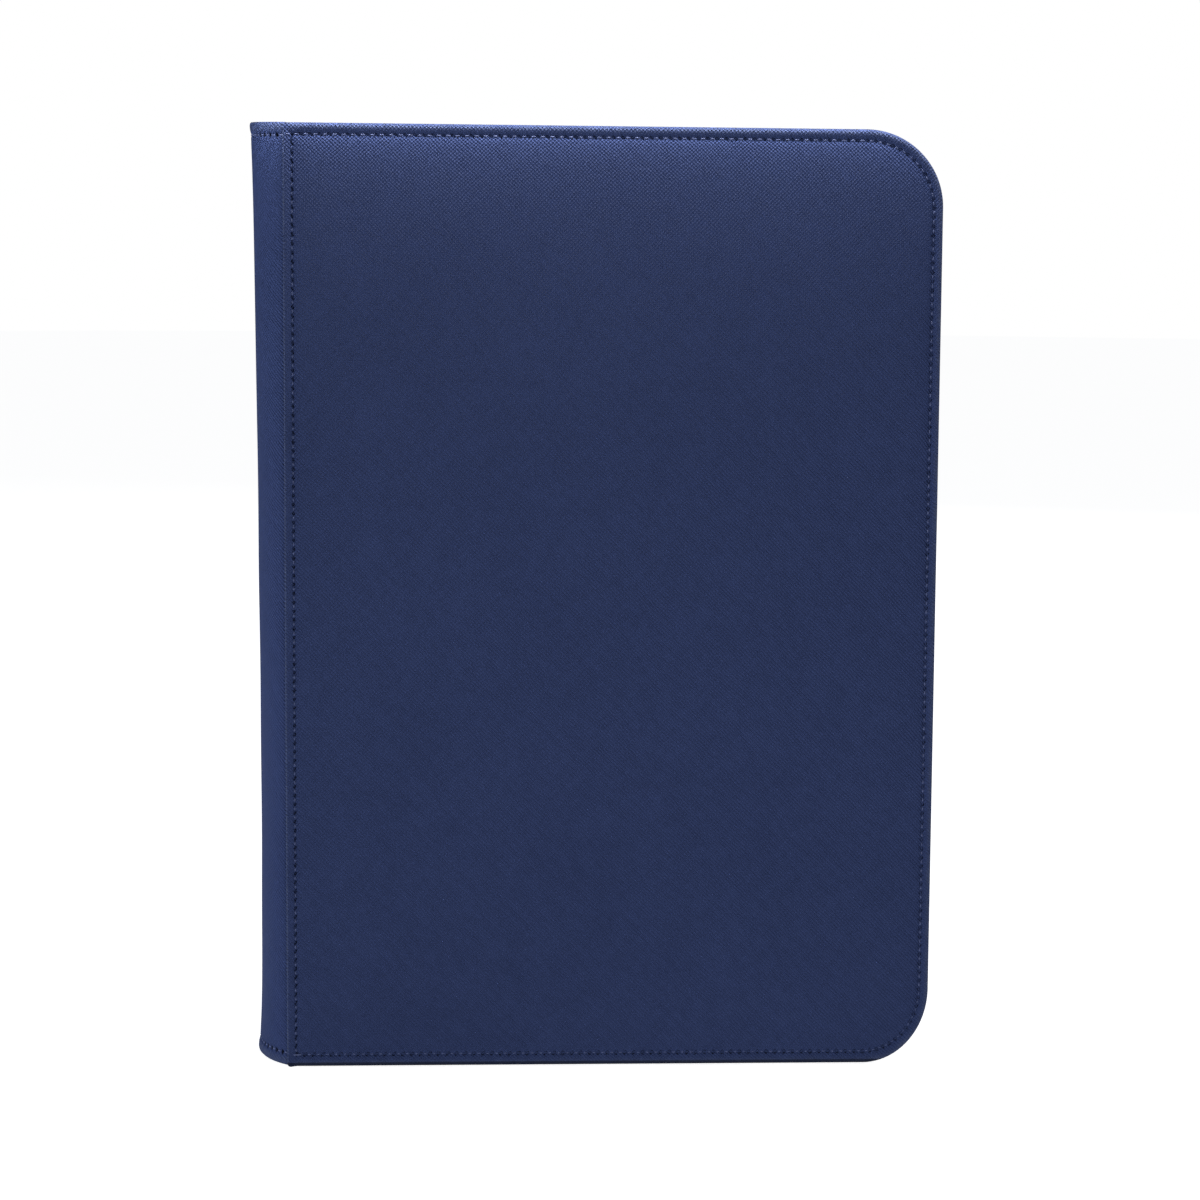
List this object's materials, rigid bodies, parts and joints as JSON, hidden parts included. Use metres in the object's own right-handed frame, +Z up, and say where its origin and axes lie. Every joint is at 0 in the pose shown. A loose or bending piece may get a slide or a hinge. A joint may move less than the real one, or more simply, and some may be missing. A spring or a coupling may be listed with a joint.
{
  "type": "trading card binder",
  "caption": "Padded zip-round card binder, closed and standing on its covers, with a soft rounded spine and side-loading nine-pocket leaves inside.",
  "frame": {"origin": "middle of the footprint, on the surface that the binder stands on", "axes": "+X from the spine to the fore-edge, +Y from the front cover to the back cover, +Z up along the spine"},
  "size_m": [0.2496, 0.05, 0.345],
  "materials": {
    "leather": "cross-hatched grain, low sheen",
    "foam": "matt foam",
    "board": "raw grey board",
    "lining": "plain weave",
    "strip": "fine grain",
    "leaf": "clear film over a black core",
    "tape": "herringbone weave",
    "coil": "satin",
    "metal": "dark nickel"
  },
  "bodies": {
    "spine": {"spine_skin": "leather", "spine_padding": "foam", "spine_lining": "lining", "leaf_binding_strip": "strip"},
    "front_cover": {"front_cover_skin": "leather", "front_foam_pad": "foam", "front_board": "board", "front_lining": "lining", "front_zip_tape": "tape", "front_zip_coil": "coil", "front_zip_top_stop": "metal"},
    "back_cover": {"back_cover_skin": "leather", "back_foam_pad": "foam", "back_board": "board", "back_lining": "lining", "back_zip_tape": "tape", "back_zip_coil": "coil", "back_zip_top_stop": "metal", "zip_end_stop": "metal"},
    "zip_slider": {"zip_slider": "metal"},
    "zip_pull": {"zip_pull": "metal"},
    "leaf_01": {"leaf_01": "leaf"},
    "leaf_02": {"leaf_02": "leaf"},
    "leaf_03": {"leaf_03": "leaf"},
    "leaf_04": {"leaf_04": "leaf"},
    "leaf_05": {"leaf_05": "leaf"},
    "leaf_06": {"leaf_06": "leaf"},
    "leaf_07": {"leaf_07": "leaf"},
    "leaf_08": {"leaf_08": "leaf"},
    "leaf_09": {"leaf_09": "leaf"},
    "leaf_10": {"leaf_10": "leaf"},
    "leaf_11": {"leaf_11": "leaf"},
    "leaf_12": {"leaf_12": "leaf"},
    "leaf_13": {"leaf_13": "leaf"},
    "leaf_14": {"leaf_14": "leaf"},
    "leaf_15": {"leaf_15": "leaf"},
    "leaf_16": {"leaf_16": "leaf"},
    "leaf_17": {"leaf_17": "leaf"},
    "leaf_18": {"leaf_18": "leaf"},
    "leaf_19": {"leaf_19": "leaf"},
    "leaf_20": {"leaf_20": "leaf"}
  },
  "joints": [
    {"name": "front_cover_hinge", "type": "hinge", "parent": "spine", "child": "front_cover", "pos_m": [-0.1124, -0.0247, 0.1725], "axis": [0, 0, -1], "range_deg": [0, 90]},
    {"name": "back_cover_hinge", "type": "hinge", "parent": "spine", "child": "back_cover", "pos_m": [-0.1124, 0.0247, 0.1725], "axis": [0, 0, 1], "range_deg": [0, 90]},
    {"name": "zip_slide", "type": "slide", "parent": "back_cover", "child": "zip_slider", "axis": [1, 0, 0], "range_m": [0, 0.17]},
    {"name": "zip_pull_hinge", "type": "hinge", "parent": "zip_slider", "child": "zip_pull", "pos_m": [-0.084, 0, 0.3412], "axis": [0, -1, 0], "range_deg": [0, 180]},
    {"name": "leaf_01_hinge", "type": "hinge", "parent": "spine", "child": "leaf_01", "pos_m": [-0.10405, -0.0171, 0.1725], "axis": [0, 0, -1], "range_deg": [0, 74]},
    {"name": "leaf_02_hinge", "type": "hinge", "parent": "spine", "child": "leaf_02", "pos_m": [-0.10405, -0.0153, 0.1725], "axis": [0, 0, -1], "range_deg": [0, 74]},
    {"name": "leaf_03_hinge", "type": "hinge", "parent": "spine", "child": "leaf_03", "pos_m": [-0.10405, -0.0135, 0.1725], "axis": [0, 0, -1], "range_deg": [0, 74]},
    {"name": "leaf_04_hinge", "type": "hinge", "parent": "spine", "child": "leaf_04", "pos_m": [-0.10405, -0.0117, 0.1725], "axis": [0, 0, -1], "range_deg": [0, 74]},
    {"name": "leaf_05_hinge", "type": "hinge", "parent": "spine", "child": "leaf_05", "pos_m": [-0.10405, -0.0099, 0.1725], "axis": [0, 0, -1], "range_deg": [0, 74]},
    {"name": "leaf_06_hinge", "type": "hinge", "parent": "spine", "child": "leaf_06", "pos_m": [-0.10405, -0.0081, 0.1725], "axis": [0, 0, -1], "range_deg": [0, 74]},
    {"name": "leaf_07_hinge", "type": "hinge", "parent": "spine", "child": "leaf_07", "pos_m": [-0.10405, -0.0063, 0.1725], "axis": [0, 0, -1], "range_deg": [0, 74]},
    {"name": "leaf_08_hinge", "type": "hinge", "parent": "spine", "child": "leaf_08", "pos_m": [-0.10405, -0.0045, 0.1725], "axis": [0, 0, -1], "range_deg": [0, 74]},
    {"name": "leaf_09_hinge", "type": "hinge", "parent": "spine", "child": "leaf_09", "pos_m": [-0.10405, -0.0027, 0.1725], "axis": [0, 0, -1], "range_deg": [0, 74]},
    {"name": "leaf_10_hinge", "type": "hinge", "parent": "spine", "child": "leaf_10", "pos_m": [-0.10405, -0.0009, 0.1725], "axis": [0, 0, -1], "range_deg": [0, 74]},
    {"name": "leaf_11_hinge", "type": "hinge", "parent": "spine", "child": "leaf_11", "pos_m": [-0.10405, 0.0009, 0.1725], "axis": [0, 0, 1], "range_deg": [0, 74]},
    {"name": "leaf_12_hinge", "type": "hinge", "parent": "spine", "child": "leaf_12", "pos_m": [-0.10405, 0.0027, 0.1725], "axis": [0, 0, 1], "range_deg": [0, 74]},
    {"name": "leaf_13_hinge", "type": "hinge", "parent": "spine", "child": "leaf_13", "pos_m": [-0.10405, 0.0045, 0.1725], "axis": [0, 0, 1], "range_deg": [0, 74]},
    {"name": "leaf_14_hinge", "type": "hinge", "parent": "spine", "child": "leaf_14", "pos_m": [-0.10405, 0.0063, 0.1725], "axis": [0, 0, 1], "range_deg": [0, 74]},
    {"name": "leaf_15_hinge", "type": "hinge", "parent": "spine", "child": "leaf_15", "pos_m": [-0.10405, 0.0081, 0.1725], "axis": [0, 0, 1], "range_deg": [0, 74]},
    {"name": "leaf_16_hinge", "type": "hinge", "parent": "spine", "child": "leaf_16", "pos_m": [-0.10405, 0.0099, 0.1725], "axis": [0, 0, 1], "range_deg": [0, 74]},
    {"name": "leaf_17_hinge", "type": "hinge", "parent": "spine", "child": "leaf_17", "pos_m": [-0.10405, 0.0117, 0.1725], "axis": [0, 0, 1], "range_deg": [0, 74]},
    {"name": "leaf_18_hinge", "type": "hinge", "parent": "spine", "child": "leaf_18", "pos_m": [-0.10405, 0.0135, 0.1725], "axis": [0, 0, 1], "range_deg": [0, 74]},
    {"name": "leaf_19_hinge", "type": "hinge", "parent": "spine", "child": "leaf_19", "pos_m": [-0.10405, 0.0153, 0.1725], "axis": [0, 0, 1], "range_deg": [0, 74]},
    {"name": "leaf_20_hinge", "type": "hinge", "parent": "spine", "child": "leaf_20", "pos_m": [-0.10405, 0.0171, 0.1725], "axis": [0, 0, 1], "range_deg": [0, 74]}
  ],
  "couplings": [
    {"joint": "leaf_01_hinge", "follows": "front_cover_hinge", "ratio": 0.8},
    {"joint": "leaf_02_hinge", "follows": "front_cover_hinge", "ratio": 0.7667},
    {"joint": "leaf_03_hinge", "follows": "front_cover_hinge", "ratio": 0.7333},
    {"joint": "leaf_04_hinge", "follows": "front_cover_hinge", "ratio": 0.7},
    {"joint": "leaf_05_hinge", "follows": "front_cover_hinge", "ratio": 0.6667},
    {"joint": "leaf_06_hinge", "follows": "front_cover_hinge", "ratio": 0.6333},
    {"joint": "leaf_07_hinge", "follows": "front_cover_hinge", "ratio": 0.6},
    {"joint": "leaf_08_hinge", "follows": "front_cover_hinge", "ratio": 0.5667},
    {"joint": "leaf_09_hinge", "follows": "front_cover_hinge", "ratio": 0.5333},
    {"joint": "leaf_10_hinge", "follows": "front_cover_hinge", "ratio": 0.5},
    {"joint": "leaf_11_hinge", "follows": "back_cover_hinge", "ratio": 0.5},
    {"joint": "leaf_12_hinge", "follows": "back_cover_hinge", "ratio": 0.5333},
    {"joint": "leaf_13_hinge", "follows": "back_cover_hinge", "ratio": 0.5667},
    {"joint": "leaf_14_hinge", "follows": "back_cover_hinge", "ratio": 0.6},
    {"joint": "leaf_15_hinge", "follows": "back_cover_hinge", "ratio": 0.6333},
    {"joint": "leaf_16_hinge", "follows": "back_cover_hinge", "ratio": 0.6667},
    {"joint": "leaf_17_hinge", "follows": "back_cover_hinge", "ratio": 0.7},
    {"joint": "leaf_18_hinge", "follows": "back_cover_hinge", "ratio": 0.7333},
    {"joint": "leaf_19_hinge", "follows": "back_cover_hinge", "ratio": 0.7667},
    {"joint": "leaf_20_hinge", "follows": "back_cover_hinge", "ratio": 0.8}
  ]
}
